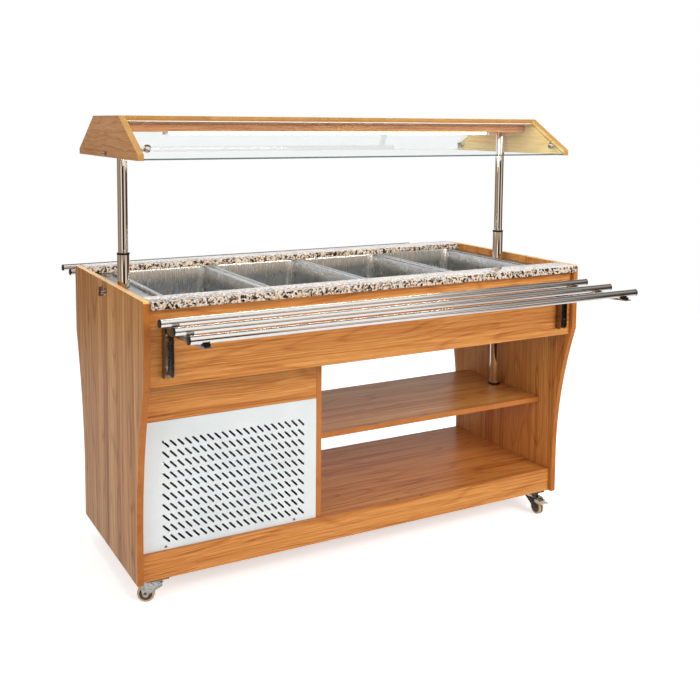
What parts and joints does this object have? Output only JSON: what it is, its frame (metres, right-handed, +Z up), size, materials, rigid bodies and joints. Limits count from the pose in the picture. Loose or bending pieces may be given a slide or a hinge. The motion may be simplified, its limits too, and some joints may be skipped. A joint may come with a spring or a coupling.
{
  "type": "mobile salad bar",
  "caption": "Mobile refrigerated salad bar: wooden cabinet on casters, pans in a steel well, folding tray rails and a height-adjustable glazed canopy on two posts.",
  "frame": {"origin": "on the floor under the centre of the cabinet", "axes": "+X along the cabinet to the viewer's right, -Y towards the front with the slotted grille, +Z up"},
  "size_m": [1.544, 1.304, 1.367],
  "materials": {
    "wood": "satin",
    "canopy_wood": "satin",
    "granite": "polished",
    "steel": "satin",
    "polished_steel": "polished",
    "white_paint": "satin",
    "dark_metal": "satin",
    "zinc": "satin",
    "tread": "matte",
    "glass": "gloss",
    "lamp": "satin",
    "foam": "matte",
    "black_metal": "satin",
    "fins": "satin",
    "black_plastic": "matte"
  },
  "bodies": {
    "cabinet": {"end_panel_left": "wood", "end_panel_right": "wood", "apron_front": "wood", "apron_rear": "wood", "compartment_board_front": "wood", "compartment_board_rear": "wood", "divider_panel": "wood", "upper_shelf": "wood", "base_shelf": "wood", "plinth_base": "wood", "grille_front": "white_paint", "grille_rear": "white_paint", "granite_front": "granite", "granite_rear": "granite", "well": "steel", "insulation": "foam", "post_sleeve_left": "polished_steel", "post_sleeve_right": "polished_steel", "bracket_channel_front_left": "dark_metal", "bracket_channel_front_right": "dark_metal", "bracket_channel_rear_left": "dark_metal", "bracket_channel_rear_right": "dark_metal", "compressor": "black_metal", "condenser": "fins", "control_plate": "black_plastic"},
    "canopy": {"post_left": "polished_steel", "post_right": "polished_steel", "canopy_end_left": "canopy_wood", "canopy_end_right": "canopy_wood", "canopy_top": "canopy_wood", "glass_front": "glass", "glass_rear": "glass", "lamp": "lamp"},
    "front_slide": {"tray_arm_front_left": "zinc", "tray_arm_front_right": "zinc", "tray_rail_front_1": "steel", "tray_rail_front_2": "steel", "tray_rail_front_3": "steel"},
    "rear_slide": {"tray_arm_rear_left": "zinc", "tray_arm_rear_right": "zinc", "tray_rail_rear_1": "steel", "tray_rail_rear_2": "steel", "tray_rail_rear_3": "steel"},
    "pan_1": {"pan_1": "steel"},
    "pan_2": {"pan_2": "steel"},
    "pan_3": {"pan_3": "steel"},
    "pan_4": {"pan_4": "steel"},
    "clamp_left": {"clamp_screw_left": "zinc"},
    "clamp_right": {"clamp_screw_right": "zinc"},
    "fan": {"fan": "black_plastic"},
    "caster_front_left": {"caster_fork_front_left": "zinc"},
    "wheel_front_left": {"caster_wheel_front_left": "tread"},
    "caster_front_right": {"caster_fork_front_right": "zinc"},
    "wheel_front_right": {"caster_wheel_front_right": "tread"},
    "caster_rear_left": {"caster_fork_rear_left": "zinc"},
    "wheel_rear_left": {"caster_wheel_rear_left": "tread"},
    "caster_rear_right": {"caster_fork_rear_right": "zinc"},
    "wheel_rear_right": {"caster_wheel_rear_right": "tread"},
    "pedal_front_right": {"brake_pedal_front_right": "zinc"},
    "pedal_rear_left": {"brake_pedal_rear_left": "zinc"}
  },
  "joints": [
    {"name": "canopy_lift", "type": "slide", "parent": "cabinet", "child": "canopy", "axis": [0, 0, 1], "range_m": [-0.36, 0]},
    {"name": "front_slide_fold", "type": "hinge", "parent": "cabinet", "child": "front_slide", "pos_m": [0, -0.362, 0.806], "axis": [1, 0, 0], "range_deg": [0, 90]},
    {"name": "rear_slide_fold", "type": "hinge", "parent": "cabinet", "child": "rear_slide", "pos_m": [0, 0.362, 0.806], "axis": [-1, 0, 0], "range_deg": [0, 90]},
    {"name": "pan_1_lift", "type": "slide", "parent": "cabinet", "child": "pan_1", "axis": [0, 0, 1], "range_m": [0, 0.2]},
    {"name": "pan_2_lift", "type": "slide", "parent": "cabinet", "child": "pan_2", "axis": [0, 0, 1], "range_m": [0, 0.2]},
    {"name": "pan_3_lift", "type": "slide", "parent": "cabinet", "child": "pan_3", "axis": [0, 0, 1], "range_m": [0, 0.2]},
    {"name": "pan_4_lift", "type": "slide", "parent": "cabinet", "child": "pan_4", "axis": [0, 0, 1], "range_m": [0, 0.2]},
    {"name": "clamp_left_turn", "type": "hinge", "parent": "cabinet", "child": "clamp_left", "pos_m": [-0.75, 0, 0.852], "axis": [-1, 0, 0], "range_deg": [-180, 180]},
    {"name": "clamp_right_turn", "type": "hinge", "parent": "cabinet", "child": "clamp_right", "pos_m": [0.75, 0, 0.852], "axis": [1, 0, 0], "range_deg": [-180, 180]},
    {"name": "fan_spin", "type": "hinge", "parent": "cabinet", "child": "fan", "pos_m": [-0.47, -0.177, 0.305], "axis": [0, 1, 0], "continuous": true},
    {"name": "swivel_front_left", "type": "hinge", "parent": "cabinet", "child": "caster_front_left", "pos_m": [-0.684, -0.238, 0.06], "axis": [0, 0, 1], "continuous": true},
    {"name": "roll_front_left", "type": "hinge", "parent": "caster_front_left", "child": "wheel_front_left", "pos_m": [-0.70895, -0.22529, 0.025], "axis": [0.454, 0.891, 0], "continuous": true},
    {"name": "swivel_front_right", "type": "hinge", "parent": "cabinet", "child": "caster_front_right", "pos_m": [0.684, -0.238, 0.06], "axis": [0, 0, 1], "continuous": true},
    {"name": "roll_front_right", "type": "hinge", "parent": "caster_front_right", "child": "wheel_front_right", "pos_m": [0.684, -0.266, 0.025], "axis": [-1, 0, 0], "continuous": true},
    {"name": "brake_front_right", "type": "hinge", "parent": "caster_front_right", "child": "pedal_front_right", "pos_m": [0.684, -0.275, 0.049], "axis": [1, 0, 0], "range_deg": [0, 12]},
    {"name": "swivel_rear_left", "type": "hinge", "parent": "cabinet", "child": "caster_rear_left", "pos_m": [-0.684, 0.238, 0.06], "axis": [0, 0, 1], "continuous": true},
    {"name": "roll_rear_left", "type": "hinge", "parent": "caster_rear_left", "child": "wheel_rear_left", "pos_m": [-0.66106, 0.25406, 0.025], "axis": [0.5736, -0.8192, 0], "continuous": true},
    {"name": "brake_rear_left", "type": "hinge", "parent": "caster_rear_left", "child": "pedal_rear_left", "pos_m": [-0.65369, 0.25922, 0.049], "axis": [-0.5736, 0.8192, 0], "range_deg": [0, 12]},
    {"name": "swivel_rear_right", "type": "hinge", "parent": "cabinet", "child": "caster_rear_right", "pos_m": [0.684, 0.238, 0.06], "axis": [0, 0, 1], "continuous": true},
    {"name": "roll_rear_right", "type": "hinge", "parent": "caster_rear_right", "child": "wheel_rear_right", "pos_m": [0.67, 0.26225, 0.025], "axis": [0.866, 0.5, 0], "continuous": true}
  ]
}
